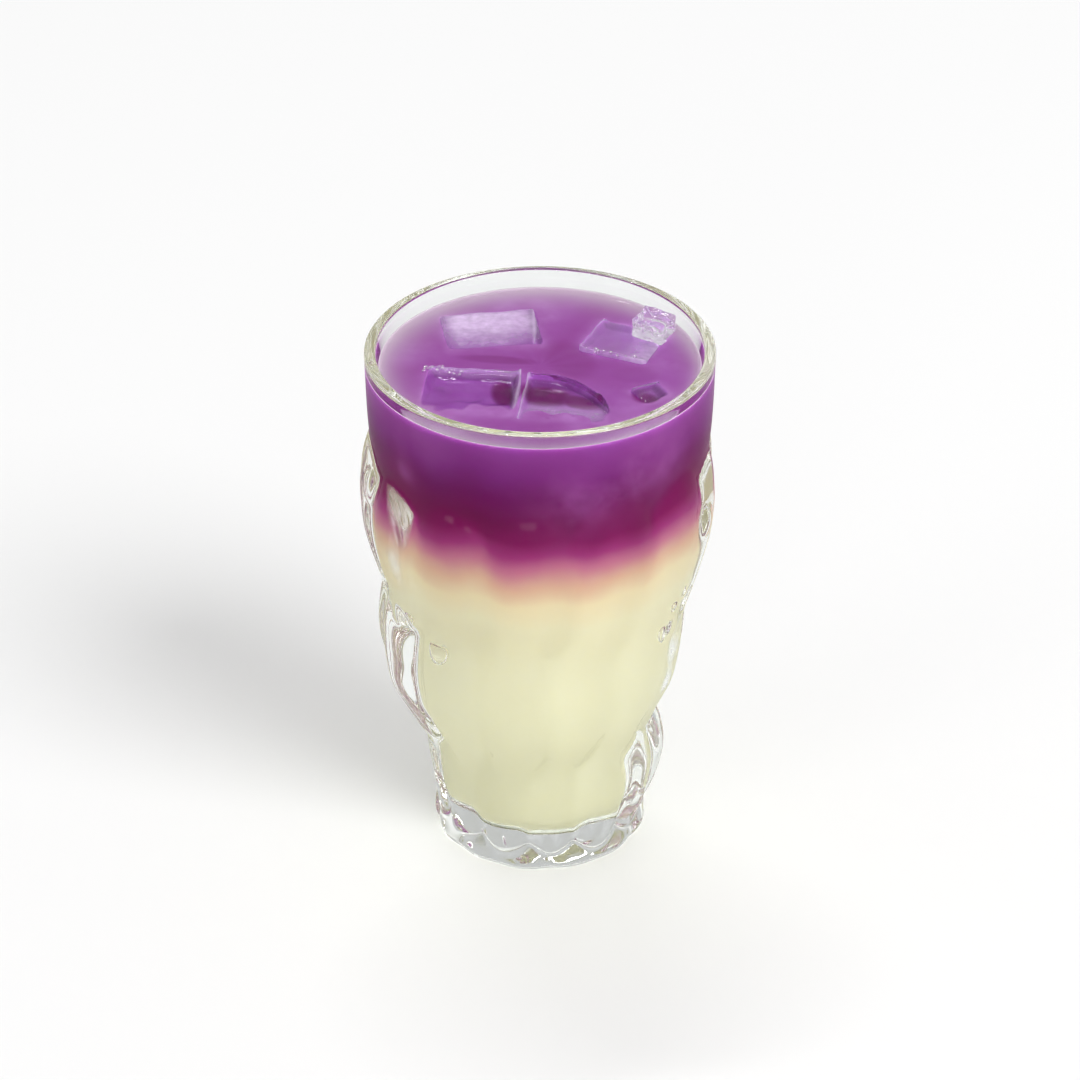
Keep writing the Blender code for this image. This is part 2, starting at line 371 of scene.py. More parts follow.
glass = turn_section("glass_body", glass_section(), GLASS_SIDES)
points = read_points(glass)
radii = np.hypot(points[:, 0], points[:, 1])
angles = np.arctan2(points[:, 1], points[:, 0])
is_outer = (radii > valley_radius(points[:, 2]) - OUTER_SKIN) & (points[:, 2] > ABOVE_FOOT)
lumps = lump_height(angles, points[:, 2])
lumps += CHISEL_DEPTH * noise_at(points, CHISEL_GRAIN) * np.clip(lumps / MM, 0.0, 1.0)
lumps += bead_height(angles, points[:, 2])
growth = np.where(is_outer, lumps / np.maximum(radii, MM), 0.0)
points[:, :2] *= (1.0 + growth)[:, None]
write_points(glass, points)
activate(glass)
bpy.ops.object.shade_smooth_by_angle(angle=GLASS_CREASE_ANGLE)
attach(glass, "root")
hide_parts("glass_tumbler")
print("lumps stand out by up to", round(lumps.max() / MM, 2), "mm")

# %% [markdown]
# ## The ice
#
# Bought ice comes as blocks. In a drink the edges of a block melt last, so its top sinks into a
# shallow dish while some edges still stand up as bright ridges. One could sculpt each block, or
# cut it with others. Here each is a cube of its packed size and place, bevelled and jolted in
# edit mode. A remesh and a smooth round all its edges a little, and then a small function pulls
# its top up and down, much as a sculptor would, but with numbers that can be read and changed.

# %% Sizes and places of the ice, in mm and degrees
ICE_BLOCKS = {
    "ice_back_left": ((23.0, 18.0, 16.0), (-11.2, 17.4, 120.4), (3.0, -4.0, 8.0)),
    "ice_back_right": ((17.5, 16.0, 16.0), (19.4, 11.4, 120.2), (-3.0, 3.0, -24.0)),
    "ice_front_left": ((22.5, 20.0, 17.0), (-16.2, -12.0, 119.6), (5.0, 3.0, -7.0)),
    "ice_front_right": ((21.0, 19.5, 17.0), (6.4, -15.8, 119.4), (4.0, -3.0, -8.0)),
    "ice_chip_front": ((7.5, 7.5, 9.0), (25.0, -12.6, 123.8), (12.0, 10.0, 30.0)),
    "ice_chip_top": ((8.0, 7.5, 4.4), (26.8, 14.0, 130.2), (4.0, 5.0, -28.0)),
}
print("pieces of ice:", len(ICE_BLOCKS))

# %% A worn block, before its top melts
BLOCK_BEVEL = 0.05
BLOCK_CUTS = 3
BLOCK_JOLT = 0.0004
BLOCK_VOXEL = 0.3 * MM


def make_block(name, size, middle, turn, wear):
    """Wear is how many times the block is smoothed, and a worn block is jolted more."""
    clear_selection()
    bpy.ops.mesh.primitive_cube_add(size=1.0)
    block = bpy.context.object
    block.name = name
    bpy.ops.object.mode_set(mode="EDIT")
    bpy.ops.mesh.select_all(action="SELECT")
    bpy.ops.mesh.bevel(offset=BLOCK_BEVEL, segments=2, affect="EDGES")
    bpy.ops.mesh.subdivide(number_cuts=BLOCK_CUTS, smoothness=0.0)
    bpy.ops.transform.vertex_random(offset=wear ** 2 * BLOCK_JOLT, seed=wear)
    bpy.ops.object.mode_set(mode="OBJECT")
    block.scale = Vector(size) * MM
    block.rotation_euler = [math.radians(angle) for angle in turn]
    block.location = Vector(middle) * MM
    bpy.ops.object.transform_apply(location=True, rotation=True, scale=True)
    remesh = block.modifiers.new("remesh", "REMESH")
    remesh.mode = "VOXEL"
    remesh.voxel_size = BLOCK_VOXEL
    bpy.ops.object.modifier_apply(modifier="remesh")
    soften = block.modifiers.new("soften", "SMOOTH")
    soften.factor = 0.5
    soften.iterations = wear
    bpy.ops.object.modifier_apply(modifier="soften")
    bpy.ops.object.shade_smooth()
    return block


print("blocks are remeshed to", round(BLOCK_VOXEL / MM, 2), "mm")


# %% How high the melted tops of the back blocks stand above the drink, in mm
# On every top, u runs from -1 at its left to 1 at its right, and v from its front to its back.
def top_back_left(u, v):
    """Nearly flat, with a low ridge at the right, and melted away along the front."""
    level, ridge, front_fall, left_fall = 0.75, 0.5, 1.5, 0.2
    return (
        level + ridge * edge(1.0 - u, 0.12)
        - front_fall * ease((-0.7 - v) / 0.3) - left_fall * ease(-u - 0.2)
    )


def top_back_right(u, v):
    """Ridges at the left and the front. The far right corner lies under the chip."""
    level, ridge, corner_fall = 0.6, 0.9, 0.8
    return (
        level + ridge * edge(1.0 + u, 0.16) + ridge * edge(1.0 + v, 0.16)
        - corner_fall * ease((u + v) / 2.0)
    )


print("back left block's middle in mm:", round(float(top_back_left(0.0, 0.0)), 2))


# %% The melted tops of the front blocks and the front chip, in mm
def top_front_left(u, v):
    """A dish with a double ridge behind and a ridge at each side."""
    level, rear_ridge, inner_ridge, front_fall = 0.35, 1.55, 0.3, 0.45
    rear = rear_ridge * edge(1.0 - v, 0.22) + inner_ridge * edge(0.55 - v, 0.1)
    sides = 0.8 * edge(1.0 + u, 0.12) + 1.0 * edge(1.0 - u, 0.1)
    return level + rear + sides * ease((v + 1.0) / 1.2) - front_fall * ease((0.0 - v + 0.2 * u) / 1.0)


def top_front_right(u, v):
    """Its far right corner has melted away, which leaves a curved ridge."""
    level, ridge_height, left_ridge, front_fall = 0.35, 1.6, 0.8, 0.45
    half_depth = ICE_BLOCKS["ice_front_right"][0][1] / 2
    ridge_line = 0.96 - 0.2 * np.clip(u + 1.1, 0.0, None) ** 2.6
    behind = (v - ridge_line) * half_depth
    ridge = ridge_height * np.exp(-(np.minimum(behind, 0.0) / 1.3) ** 2)
    fall = 2.6 * np.clip(behind, 0.0, 1.6)
    wedge = 0.7 * np.exp(-((v + 0.25 - 0.35 * u) / 0.1) ** 2) * ease((u - 0.3) / 0.5)
    left = left_ridge * edge(1.0 + u, 0.1)
    return level + ridge - fall + wedge + left - front_fall * ease((-0.1 - v - 0.1 * u) / 0.9)


def top_chip_front(u, v):
    level, rear_ridge, front_fall = 0.5, 1.1, 0.6
    return level + rear_ridge * edge(1.0 - v, 0.35) - front_fall * ease(-v)


ICE_TOPS = {
    "ice_back_left": top_back_left, "ice_back_right": top_back_right,
    "ice_front_left": top_front_left, "ice_front_right": top_front_right,
    "ice_chip_front": top_chip_front,
}
print("tops that melt:", len(ICE_TOPS))


# %% How milky each top is: 0 is clear and 1 is white. Bright lines along some edges and ridges are painted in as milk
def inward(u, v, width):
    """0 on the rim of a block's top and 1 further in."""
    return ease((1.0 - np.abs(u)) / width) * ease((1.0 - np.abs(v)) / width)


def milk_and_edge_light_back_left(u, v):
    """Milky at the back, and clearer towards its front and its rim."""
    milk = 0.72 - 0.42 * ease((0.3 - v) / 1.2) - 0.2 * ease(u)
    # Painted highlight: a thin milky line stands in for a bright facet line.
    painted_facet_line = 0.25 * edge(0.86 - u + 0.1 * v, 0.04)
    return milk * (0.4 + 0.6 * inward(u, v, 0.3)) + painted_facet_line


def milk_and_edge_light_back_right(u, v):
    # Painted highlight: milky lines along the left and the front edge stand in for bright edge lines.
    return 0.14 + 0.3 * ease(u) + 0.4 * edge(1.0 + u, 0.1) + 0.25 * edge(1.0 + v, 0.1)


def milk_and_edge_light_front_left(u, v):
    # Painted highlight: milky lines along the ridges stand in for their bright lines.
    return 0.22 * edge(0.85 - v, 0.2) + 0.4 * edge(1.0 - u, 0.06) + 0.3 * edge(1.0 - v, 0.05)


def milk_and_edge_light_front_right(u, v):
    milk = 0.27 * ease((-0.1 - v) / 0.5)
    # Painted highlight: a milky line along the left edge stands in for a bright edge line.
    return milk * (0.3 + 0.7 * inward(u, v, 0.3)) + 0.4 * edge(1.0 + u, 0.06)


def milk_and_edge_light_chip_front(u, v):
    # Painted highlight: a milky line along the rear ridge stands in for its bright line.
    return 0.05 + 0.5 * edge(1.0 - v, 0.25)


ICE_MILK_AND_EDGE_LIGHT = {
    "ice_back_left": milk_and_edge_light_back_left, "ice_back_right": milk_and_edge_light_back_right,
    "ice_front_left": milk_and_edge_light_front_left, "ice_front_right": milk_and_edge_light_front_right,
    "ice_chip_front": milk_and_edge_light_chip_front,
}
CLEAR_VEIL = 0.1
print("milkiest middle:", round(float(milk_and_edge_light_back_left(0.0, 0.0)), 2))

# %% Pull the top of a block to its melted height
MELT_DEPTH = 3.0 * MM
FACES_UP = 0.95
HIGHEST_SHARE = 1.2


def place_on_block(points, node):
    """Where each point lies on a block's top, as u and v."""
    size, middle, turn = ICE_BLOCKS[node]
    cosine, sine = math.cos(math.radians(turn[2])), math.sin(math.radians(turn[2]))
    east, north = points[:, 0] - middle[0] * MM, points[:, 1] - middle[1] * MM
    u = (east * cosine + north * sine) / (size[0] / 2 * MM)
    v = (north * cosine - east * sine) / (size[1] / 2 * MM)
    return u, v


def melt_top(block, node):
    """Stretch what lies above the melt depth, so that the top plane takes its new height."""
    points = read_points(block)
    flat = points[read_normals(block)[:, 2] > FACES_UP]
    slope, *_ = np.linalg.lstsq(np.c_[flat[:, :2], np.ones(len(flat))], flat[:, 2], rcond=None)
    plane = points[:, :2] @ slope[:2] + slope[2]
    u, v = place_on_block(points, node)
    start = DRINK_LEVEL - MELT_DEPTH
    share = np.clip((points[:, 2] - start) / (plane - start), 0.0, HIGHEST_SHARE)
    melted = start + share * (DRINK_LEVEL + ICE_TOPS[node](u, v) * MM - start)
    points[:, 2] = np.where(points[:, 2] > start, melted, points[:, 2])
    write_points(block, points)
    return u, v


print("tops are pulled from", round((DRINK_LEVEL - MELT_DEPTH) / MM, 1), "mm upwards")

# %% Every piece of ice
ICE_GRAIN = 4.0 * MM
ICE_UNEVEN = 0.25 * MM
ICE_SHRINK = 0.4
VEIL_GRAIN = 2.4 * MM
VEIL_STREAKS = 0.22
WEAR = 4
CHIP_WEAR = 20


def roughen(block, node):
    """Push the surface in and out a little, and keep the block in its packed box."""
    points = read_points(block)
    bumps = ICE_UNEVEN * (noise_at(points, ICE_GRAIN) - ICE_SHRINK)
    points += read_normals(block) * bumps[:, None]
    low, high = (np.array(corner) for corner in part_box(node))
    write_points(block, np.clip(points, low, high))


ice_pieces = {}
for node, (size, middle, turn) in ICE_BLOCKS.items():
    wear = WEAR if node in ICE_TOPS else CHIP_WEAR
    ice = make_block(node.replace("ice_", "melting_ice_"), size, middle, turn, wear)
    milk_and_edge_light = np.full(len(ice.data.vertices), CLEAR_VEIL)
    if node in ICE_TOPS:
        u, v = melt_top(ice, node)
        milk_and_edge_light = ICE_MILK_AND_EDGE_LIGHT[node](u, v)
    streaks = VEIL_STREAKS * noise_at(read_points(ice), VEIL_GRAIN)
    add_measure(ice, "milk_and_edge_light", np.clip(milk_and_edge_light * (1.0 + streaks), 0.0, 1.0))
    roughen(ice, node)
    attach(ice, "root")
    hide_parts(node)
    ice_pieces[node] = ice
    print(ice.name, "has", len(ice.data.polygons), "faces")

# %% [markdown]
# ## The drink
#
# The two juices are one body of liquid: they only touch, and light passes from one to the other.
# Two bodies would leave a hard line or a gap between them. So they are one closed mesh, and the
# change of colour comes from a measure of how far each point lies above the border. Liquid wets
# its glass, so there is no air between them: the side reaches a hair into the glass, and the
# skin curves up a little where it meets the wall.

# %% Half section of the drink, with its skin curved up at the wall
DRINK_SIDES = 300
SIDE_RINGS = 90
TOP_RINGS = 78
MENISCUS = 1.3 * MM
MENISCUS_RISE = 0.6 * MENISCUS
MENISCUS_FALL = 2.6
MENISCUS_PLACES = (0.08, 0.2, 0.35, 0.55, 0.8, 1.1, 1.5, 2.0)


def drink_section():
    section = [(0.0, FLOOR_HEIGHT - WALL_BITE)]
    for turn in np.linspace(QUARTER_TURN, 0.0, CORNER_STEPS)[:-1]:
        height = FLOOR_HEIGHT + FLOOR_CORNER * (1.0 - math.sin(turn))
        section.append((float(lining_radius(height)) + WALL_BITE, height - WALL_BITE))
    for height in np.linspace(FLOOR_HEIGHT + FLOOR_CORNER, DRINK_LEVEL + MENISCUS_RISE, SIDE_RINGS):
        section.append((float(lining_radius(height)) + WALL_BITE, float(height)))
    for place in MENISCUS_PLACES:
        rise = MENISCUS_RISE * math.exp(-MENISCUS_FALL * place)
        section.append((float(lining_radius(DRINK_LEVEL)) - place * MENISCUS, DRINK_LEVEL + rise))
    top_radius = section[-1][0]
    for ring in range(TOP_RINGS - 1, -1, -1):
        section.append((top_radius * ring / TOP_RINGS, DRINK_LEVEL))
    return section


print("the skin climbs the wall by", round(MENISCUS_RISE / MM, 2), "mm")

# %% Spin the drink
DRINK_CREASE_ANGLE = math.radians(35)
SKIN_DEPTH = 0.01 * MM

drink = turn_section("layered_drink", drink_section(), DRINK_SIDES)
activate(drink)
bpy.ops.object.shade_smooth_by_angle(angle=DRINK_CREASE_ANGLE)
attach(drink, "root")
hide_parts("drink_yellow_layer", "drink_violet_layer")
points = read_points(drink)
radii = np.hypot(points[:, 0], points[:, 1])
at_skin = points[:, 2] > DRINK_LEVEL - SKIN_DEPTH
on_top = at_skin & (radii < lining_radius(DRINK_LEVEL) - MENISCUS)
print("points on the flat of the skin:", int(on_top.sum()))

# %% [markdown]
# ### Room for the ice
#
# Ice lies in the drink, and one looks down through its clear top into the depth. Cutting the ice
# out of the drink with a Boolean would leave a thin gap round it, which shows as a dark line.
# Instead the skin of the drink simply dips under each block, with a soft rim, and the ice lies
# over the dip like a lens.

# %% Let the skin of the drink dip under each block
DIP = 2.6 * MM
DIP_EDGE = 1.3 * MM
DIP_PROBE = 2.5 * MM
PROBE_REACH = 12.0 * MM
STANDS_FROM = 0.2 * MM
STANDS_OVER = 0.4 * MM
UP = Vector((0.0, 0.0, 1.0))
# How much of the dip is left at the front edge of a block.
FRONT_DIP = {"ice_front_left": 0.1, "ice_front_right": 0.1, "ice_back_left": 0.3}

graph = bpy.context.evaluated_depsgraph_get()
trees = {node: BVHTree.FromObject(ice, graph) for node, ice in ice_pieces.items()}
dips = np.zeros(len(points))
for node in ICE_TOPS:
    v = place_on_block(points, node)[1]
    kept = 1.0 - (1.0 - FRONT_DIP.get(node, 1.0)) * ease((0.2 - v) / 1.1)
    for index in np.flatnonzero(on_top):
        probe = Vector(points[index]) - UP * DIP_PROBE
        place, normal, _, reach = trees[node].find_nearest(probe, PROBE_REACH)
        if place is None or (place - probe).dot(normal) < 0.0:
            continue
        roof = trees[node].ray_cast(probe, UP)[0]
        stands = 0.0 if roof is None else (roof.z - DRINK_LEVEL + STANDS_FROM) / STANDS_OVER
        dip = float(kept[index] * ease(reach / DIP_EDGE) * ease(stands))
        dips[index] = max(dips[index], dip)
print("share of the drink's points under ice:", round(float((dips > 0.5).mean()), 3))

# %% [markdown]
# ### What the material needs to know
#
# Four things change the drink's colour: its height, how near the ice is, a painted shade in dark
# pools between the blocks, where deep gaps would lie in shade, and how near the wall is. A painted
# texture could hold them, but a measure that is stored on the points needs no image and can be worked out.

# %% Measure how far each point of the drink lies above the border
SOFT_RIPPLE = 0.45


def border_height(angle):
    """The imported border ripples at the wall, and the soft change of colour ripples less."""
    ripple = BORDER_RIPPLE * np.cos(RIPPLES_ROUND * angle + RIPPLE_PHASE)
    return BORDER_HEIGHT + SOFT_RIPPLE * ripple


angles = np.arctan2(points[:, 1], points[:, 0])
above_border = (points[:, 2] - border_height(angles)) / MM
add_measure(drink, "above_border", above_border)
print("violet layer in mm:", round(float(above_border.max()), 1))

# %% Measure how near the ice is to each point, because juice over ice looks paler; in the dips it is painted paler still, to lift their shade
# Some cubes are sunk wholly, and only show as pale clouds: middle and radius in mm.
SUNK_ICE = (
    (8.0, -27.0, 113.5, 8.0), (20.0, -22.0, 118.5, 8.5), (-22.0, -24.0, 124.0, 2.5),
    (-3.0, 27.0, 122.0, 8.0), (-30.0, 8.0, 122.0, 4.5), (28.0, 2.0, 123.0, 4.0),
    (9.0, -26.0, 122.5, 4.0),
)
SUNK_PALENESS = 0.56
SUNK_REACH = 3.6 * MM
ICE_PALENESS = 0.8
CLOUD_REACH = 1.5 * MM
DIP_PALENESS_AND_LIGHT = 0.45
IN_DIP = 0.02
FARTHEST = 1.0

distances = np.full(len(points), FARTHEST)
for tree in trees.values():
    nearest = np.array([tree.find_nearest(Vector(point))[3] for point in points])
    distances = np.minimum(distances, nearest)
ice_near = ICE_PALENESS * np.exp(-distances / CLOUD_REACH)
for x, y, z, radius in SUNK_ICE:
    apart = np.linalg.norm(points - np.array([x, y, z]) * MM, axis=1)
    sunk = SUNK_PALENESS * np.exp(-np.maximum(apart - radius * MM, 0.0) / SUNK_REACH)
    ice_near = np.maximum(ice_near, sunk)
# Painted light: the dips under the blocks get a fixed paleness, which lifts the shade that falls in them
# under the ice.
ice_near = np.where(dips > IN_DIP, DIP_PALENESS_AND_LIGHT, ice_near)
print("palest point over ice:", round(float(ice_near.max()), 2))

# %% Painted shade: dark pools, where deep gaps past the ice would lie in shade
# Middle, half length and half width in mm, turn in degrees, and strength.
SHADE_POOLS = (
    (-8.4, -11.0, 3.0, 7.0, 4.0, 1.0), (1.2, -12.0, 6.8, 5.2, -16.0, 1.0),
    (9.0, -15.0, 5.8, 3.0, -34.0, 0.9), (24.4, -13.8, 3.4, 3.6, 0.0, 0.9),
    (-10.0, 3.2, 10.0, 2.0, -8.0, 0.35), (7.0, 3.0, 6.0, 10.0, 20.0, 0.25),
    (22.0, -4.0, 6.0, 4.0, 0.0, 0.15),
)
SHADE_POOL_SOFTNESS = 1.3


# Painted shade: the skin is darkened in these pools, as the deep gaps between the blocks would be.
def pool_shade_depth(points):
    depth = np.zeros(len(points))
    for x, y, half_length, half_width, turn, strength in SHADE_POOLS:
        east, north = points[:, 0] / MM - x, points[:, 1] / MM - y
        cosine, sine = math.cos(math.radians(turn)), math.sin(math.radians(turn))
        along = (east * cosine + north * sine) / half_length
        across = (north * cosine - east * sine) / half_width
        depth = np.maximum(depth, strength * ease(SHADE_POOL_SOFTNESS - (along ** 2 + across ** 2)))
    return depth * on_top


shade_pools = pool_shade_depth(points)
add_measure(drink, "pool_shade", shade_pools)
add_measure(drink, "ice_near", ice_near * (1.0 - shade_pools))
print("share of the skin in dark pools:", round(float((shade_pools[on_top] > 0.5).mean()), 3))

# %% The colour is paler along the wall, most of all at the back and the left
WALL_PALENESS = 0.85
PALE_REACH = 1.6 * MM
PALE_REACH_BACK = 3.6 * MM
PALE_REACH_LEFT = 1.6 * MM

to_wall = np.maximum(lining_radius(points[:, 2]) - radii, 0.0)
towards_back, towards_left = np.clip(np.c_[points[:, 1], -points[:, 0]].T / radii.max(), 0.0, 1.0)
pale_reach = PALE_REACH + PALE_REACH_BACK * towards_back + PALE_REACH_LEFT * towards_left
wall_near = np.where(at_skin, WALL_PALENESS * np.exp(-to_wall / pale_reach), 0.0)
add_measure(drink, "wall_near", wall_near)
points[:, 2] -= DIP * dips
write_points(drink, points)
print("widest pale band in mm:", round(float(pale_reach.max()) / MM, 1))

# %% [markdown]
# ## Bubbles
#
# Air that was frozen into the ice comes free as it melts, and sits under the raised edges as
# tiny bubbles. Particles could scatter them, but the export drops particles. So one bubble is
# modelled, copied with its own mesh for each place, and the copies are joined. Larger, longer
# bubbles, which a glassmaker calls seeds, were caught in the thick wall when it was pressed, and
# were drawn out tall as the hot glass was pushed up.

# %% One bubble, its copies, and one piece from them all
def model_bubble(rings):
    """A ball of unit size."""
    clear_selection()
    bpy.ops.mesh.primitive_uv_sphere_add(segments=rings * 2, ring_count=rings, radius=1.0)
    bpy.ops.object.shade_smooth()
    return bpy.context.object


def copy_bubble(model, place, radius, stretch=1.0):
    """A copy with its own mesh, pulled tall in edit mode by the stretch."""
    bubble = model.copy()
    bubble.data = model.data.copy()
    bpy.context.scene.collection.objects.link(bubble)
    activate(bubble)
    bpy.ops.object.mode_set(mode="EDIT")
    bpy.ops.mesh.select_all(action="SELECT")
    bpy.ops.transform.resize(value=(1.0, 1.0, stretch))
    bpy.ops.object.mode_set(mode="OBJECT")
    bubble.location = place
    bubble.scale = (radius, radius, radius)
    return bubble


def join_bubbles(model, bubbles, name):
    bpy.data.objects.remove(model)
    clear_selection()
    for bubble in bubbles:
        bubble.select_set(True)
    bpy.context.view_layer.objects.active = bubbles[0]
    bpy.ops.object.join()
    joined = bpy.context.object
    joined.name = name
    bpy.ops.object.transform_apply(location=True, rotation=True, scale=True)
    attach(joined, "root")
    print(name, "joined from", len(bubbles))
    return joined


# %% Bubbles along the raised edges of the ice
# Start and end of each row in mm, number of bubbles, and spread.
BUBBLE_ROWS = (
    ((-27.0, -2.6, 128.1), (-18.5, -4.6, 127.8), 40, 0.9),
    ((25.0, 11.5, 130.4), (28.6, 15.5, 130.8), 14, 0.8),
    ((12.0, 6.4, 127.9), (23.0, 2.4, 127.8), 12, 0.35),
)
HEIGHT_SPREAD = 0.25
SMALLEST_BUBBLE = 0.15
LARGEST_BUBBLE = 0.42

dice = random.Random(LUMP_SEED)
small_bubble = model_bubble(rings=8)
bubbles = []
for start, end, count, spread in BUBBLE_ROWS:
    for _ in range(count):
        place = Vector(start).lerp(Vector(end), dice.random())
        place += Vector((dice.gauss(0.0, spread), dice.gauss(0.0, spread), dice.gauss(0.0, HEIGHT_SPREAD)))
        radius = dice.uniform(SMALLEST_BUBBLE, LARGEST_BUBBLE)
        bubbles.append(copy_bubble(small_bubble, place * MM, radius * MM))
froth = join_bubbles(small_bubble, bubbles, "trapped_bubbles")

# %% Seeds in the thick wall
# Angle, height, distance under the outer wall's valleys, radius, and how tall for its width.
SEEDS = (
    (210.0, 70.0 * MM, 0.6 * MM, 1.3 * MM, 1.5), (227.0, 63.4 * MM, 0.4 * MM, 1.5 * MM, 1.6),
    (-34.0, 65.5 * MM, 1.0 * MM, 1.5 * MM, 1.7), (-29.7, 72.8 * MM, 1.0 * MM, 1.2 * MM, 1.3),
    (24.0, 58.0 * MM, 1.2 * MM, 1.0 * MM, 1.5), (118.0, 66.0 * MM, 0.8 * MM, 1.4 * MM, 1.5),
)
large_bubble = model_bubble(rings=16)
air_seeds = []
for angle, height, depth, radius, stretch in SEEDS:
    reach = float(valley_radius(height)) - depth
    turn = math.radians(angle)
    place = (reach * math.cos(turn), reach * math.sin(turn), height)
    air_seeds.append(copy_bubble(large_bubble, place, radius, stretch))
seeds = join_bubbles(large_bubble, air_seeds, "glass_seeds")

# %% [markdown]
# ## Materials
#
# Each material starts from what the real stuff is: how it was made, and what light does in it.
# Nodes could be wired by hand in the editor. One helper that adds a node with its settings and
# links keeps the wiring short enough to read here, and one more turns the colours that an artist
# picks on a screen into the linear ones that light needs.

# %% Colours from hex, and one helper for nodes
SRGB_TOE = 0.04045


def linear(code):
    levels = [int(code[place:place + 2], 16) / 255.0 for place in (1, 3, 5)]
    return [
        level / 12.92 if level <= SRGB_TOE else ((level + 0.055) / 1.055) ** 2.4
        for level in levels
    ] + [1.0]


def add_node(tree, kind, settings=None, values=None, links=None, stops=()):
    """Add a node, set its own settings, socket values and colour stops, and link its inputs."""
    node = tree.nodes.new(kind)
    for name, value in (settings or {}).items():
        setattr(node, name, value)
    for name, value in (values or {}).items():
        node.inputs[name].default_value = value
    for name, source in (links or {}).items():
        tree.links.new(source, node.inputs[name])
    for index, (place, code) in enumerate(stops):
        elements = node.color_ramp.elements
        element = elements[index] if index < len(elements) else elements.new(place)
        element.position = place
        element.color = linear(code)
    return node


print("middle grey is", round(linear("#808080")[0], 3), "of white in linear light")


# %% Start a material, and let light through a clear one
def new_material(name):
    material = bpy.data.materials.new(name)
    material.use_nodes = True
    tree = material.node_tree
    return material, tree, tree.nodes["Principled BSDF"], tree.nodes["Material Output"]


def let_light_through(tree, output, surface, tint):
    """Clear things throw pale shadows: a shadow ray goes straight through, a little dimmed."""
    light_path = add_node(tree, "ShaderNodeLightPath")
    clear = add_node(tree, "ShaderNodeBsdfTransparent", values={"Color": linear(tint)})
    mix = add_node(tree, "ShaderNodeMixShader", links={
        0: light_path.outputs["Is Shadow Ray"], 1: surface, 2: clear.outputs[0]})
    tree.links.new(mix.outputs[0], output.inputs["Surface"])


print("materials so far:", len(bpy.data.materials))

# %% [markdown]
# ### Soda-lime glass
#
# Drinking glasses are soda-lime glass, pressed and then polished in a flame, so the surface is
# as smooth as a liquid's and the edges are bright. Its index is close to 1.5 and its tint is too
# faint to see through a few millimetres. A plain glass shader gives all of that, but the front
# of the wall then mirrors so much pale floor that a dark drink behind it looks grey. So part of
# the outer face only bends light, and the inner faces still mirror fully.

# %% Soda-lime glass, fire polished
GLASS_INDEX = 1.5
GLASS_TINT = "#FAFCFB"
ONLY_BENDS = 0.7

glass_material, tree, shader, output = new_material("soda_lime_glass")
shader.inputs["Base Color"].default_value = linear(GLASS_TINT)
shader.inputs["Roughness"].default_value = 0.0
shader.inputs["IOR"].default_value = GLASS_INDEX
shader.inputs["Transmission Weight"].default_value = 1.0
facing = add_node(tree, "ShaderNodeNewGeometry")
outside = add_node(tree, "ShaderNodeMapRange", values={"To Min": ONLY_BENDS, "To Max": 0.0},
                   links={"Value": facing.outputs["Backfacing"]})
bent = add_node(tree, "ShaderNodeBsdfRefraction",
                values={"Color": linear(GLASS_TINT), "Roughness": 0.0, "IOR": GLASS_INDEX})
calmed = add_node(tree, "ShaderNodeMixShader", links={
    0: outside.outputs[0], 1: shader.outputs[0], 2: bent.outputs[0]})
let_light_through(tree, output, calmed.outputs[0], tint="#F9FAF9")
glass.data.materials.append(glass_material)
print(glass_material.name, "has index", GLASS_INDEX)

# %% [markdown]
# ### Layered juice
#
# The lower layer is pale and cloudy, as lemon juice is. Drinks like this one are often topped
# with a violet flower tea, which turns pink where it meets an acid juice, so the border is pink.
# Fine pulp scatters light inside, so the juice glows a little and has no sharp shadows. A volume
# would show that too, but it is slow and noisy. Subsurface scattering on the skin looks much the
# same and costs little.

# %% Colour of the juice by its height above the border, in mm
RAMP_LOW = -90.0
RAMP_HIGH = 40.0
JUICE_STOPS = (
    (-84.0, "#DDDABE"), (-45.0, "#E6E3C8"), (-15.0, "#EAE5C8"), (-8.0, "#EADDBC"), (-3.5, "#DDB9A2"),
    (1.0, "#C67F98"), (5.0, "#A43E80"), (9.0, "#86165F"), (14.0, "#7C0A58"), (21.0, "#790F67"),
    (27.0, "#862C84"), (32.0, "#934194"), (36.5, "#9A4EA2"),
)
SWIRL_SIZE = 23.8 * MM
SWIRL_HEIGHT = 8.0


def colour_by_height(tree, place):
    """Slow swirls lift and lower the border by up to half their height."""
    measure = add_node(tree, "ShaderNodeAttribute", {"attribute_name": "above_border"})
    swirl = add_node(tree, "ShaderNodeTexNoise", values={"Scale": 1.0 / SWIRL_SIZE, "Detail": 3.0},
                     links={"Vector": place})
    shift = add_node(tree, "ShaderNodeMath", {"operation": "MULTIPLY_ADD"}, values={1: SWIRL_HEIGHT},
                     links={0: swirl.outputs["Fac"], 2: measure.outputs["Fac"]})
    lowest, highest = RAMP_LOW + SWIRL_HEIGHT / 2, RAMP_HIGH + SWIRL_HEIGHT / 2
    share = add_node(tree, "ShaderNodeMapRange", values={"From Min": lowest, "From Max": highest},
                     links={"Value": shift.outputs[0]})
    ramp = add_node(tree, "ShaderNodeValToRGB", links={"Fac": share.outputs[0]}, stops=[
        ((above - RAMP_LOW) / (RAMP_HIGH - RAMP_LOW), code) for above, code in JUICE_STOPS])
    return ramp.outputs["Color"]


print("colour stops:", len(JUICE_STOPS))

# %% Paler colour over ice
# A Mix node has sockets for numbers, vectors and colours. These are the ones for colours.
SHARE, FIRST, SECOND, BLEND = 0, 6, 7, 2
CLOUD_SIZE = 6.25 * MM


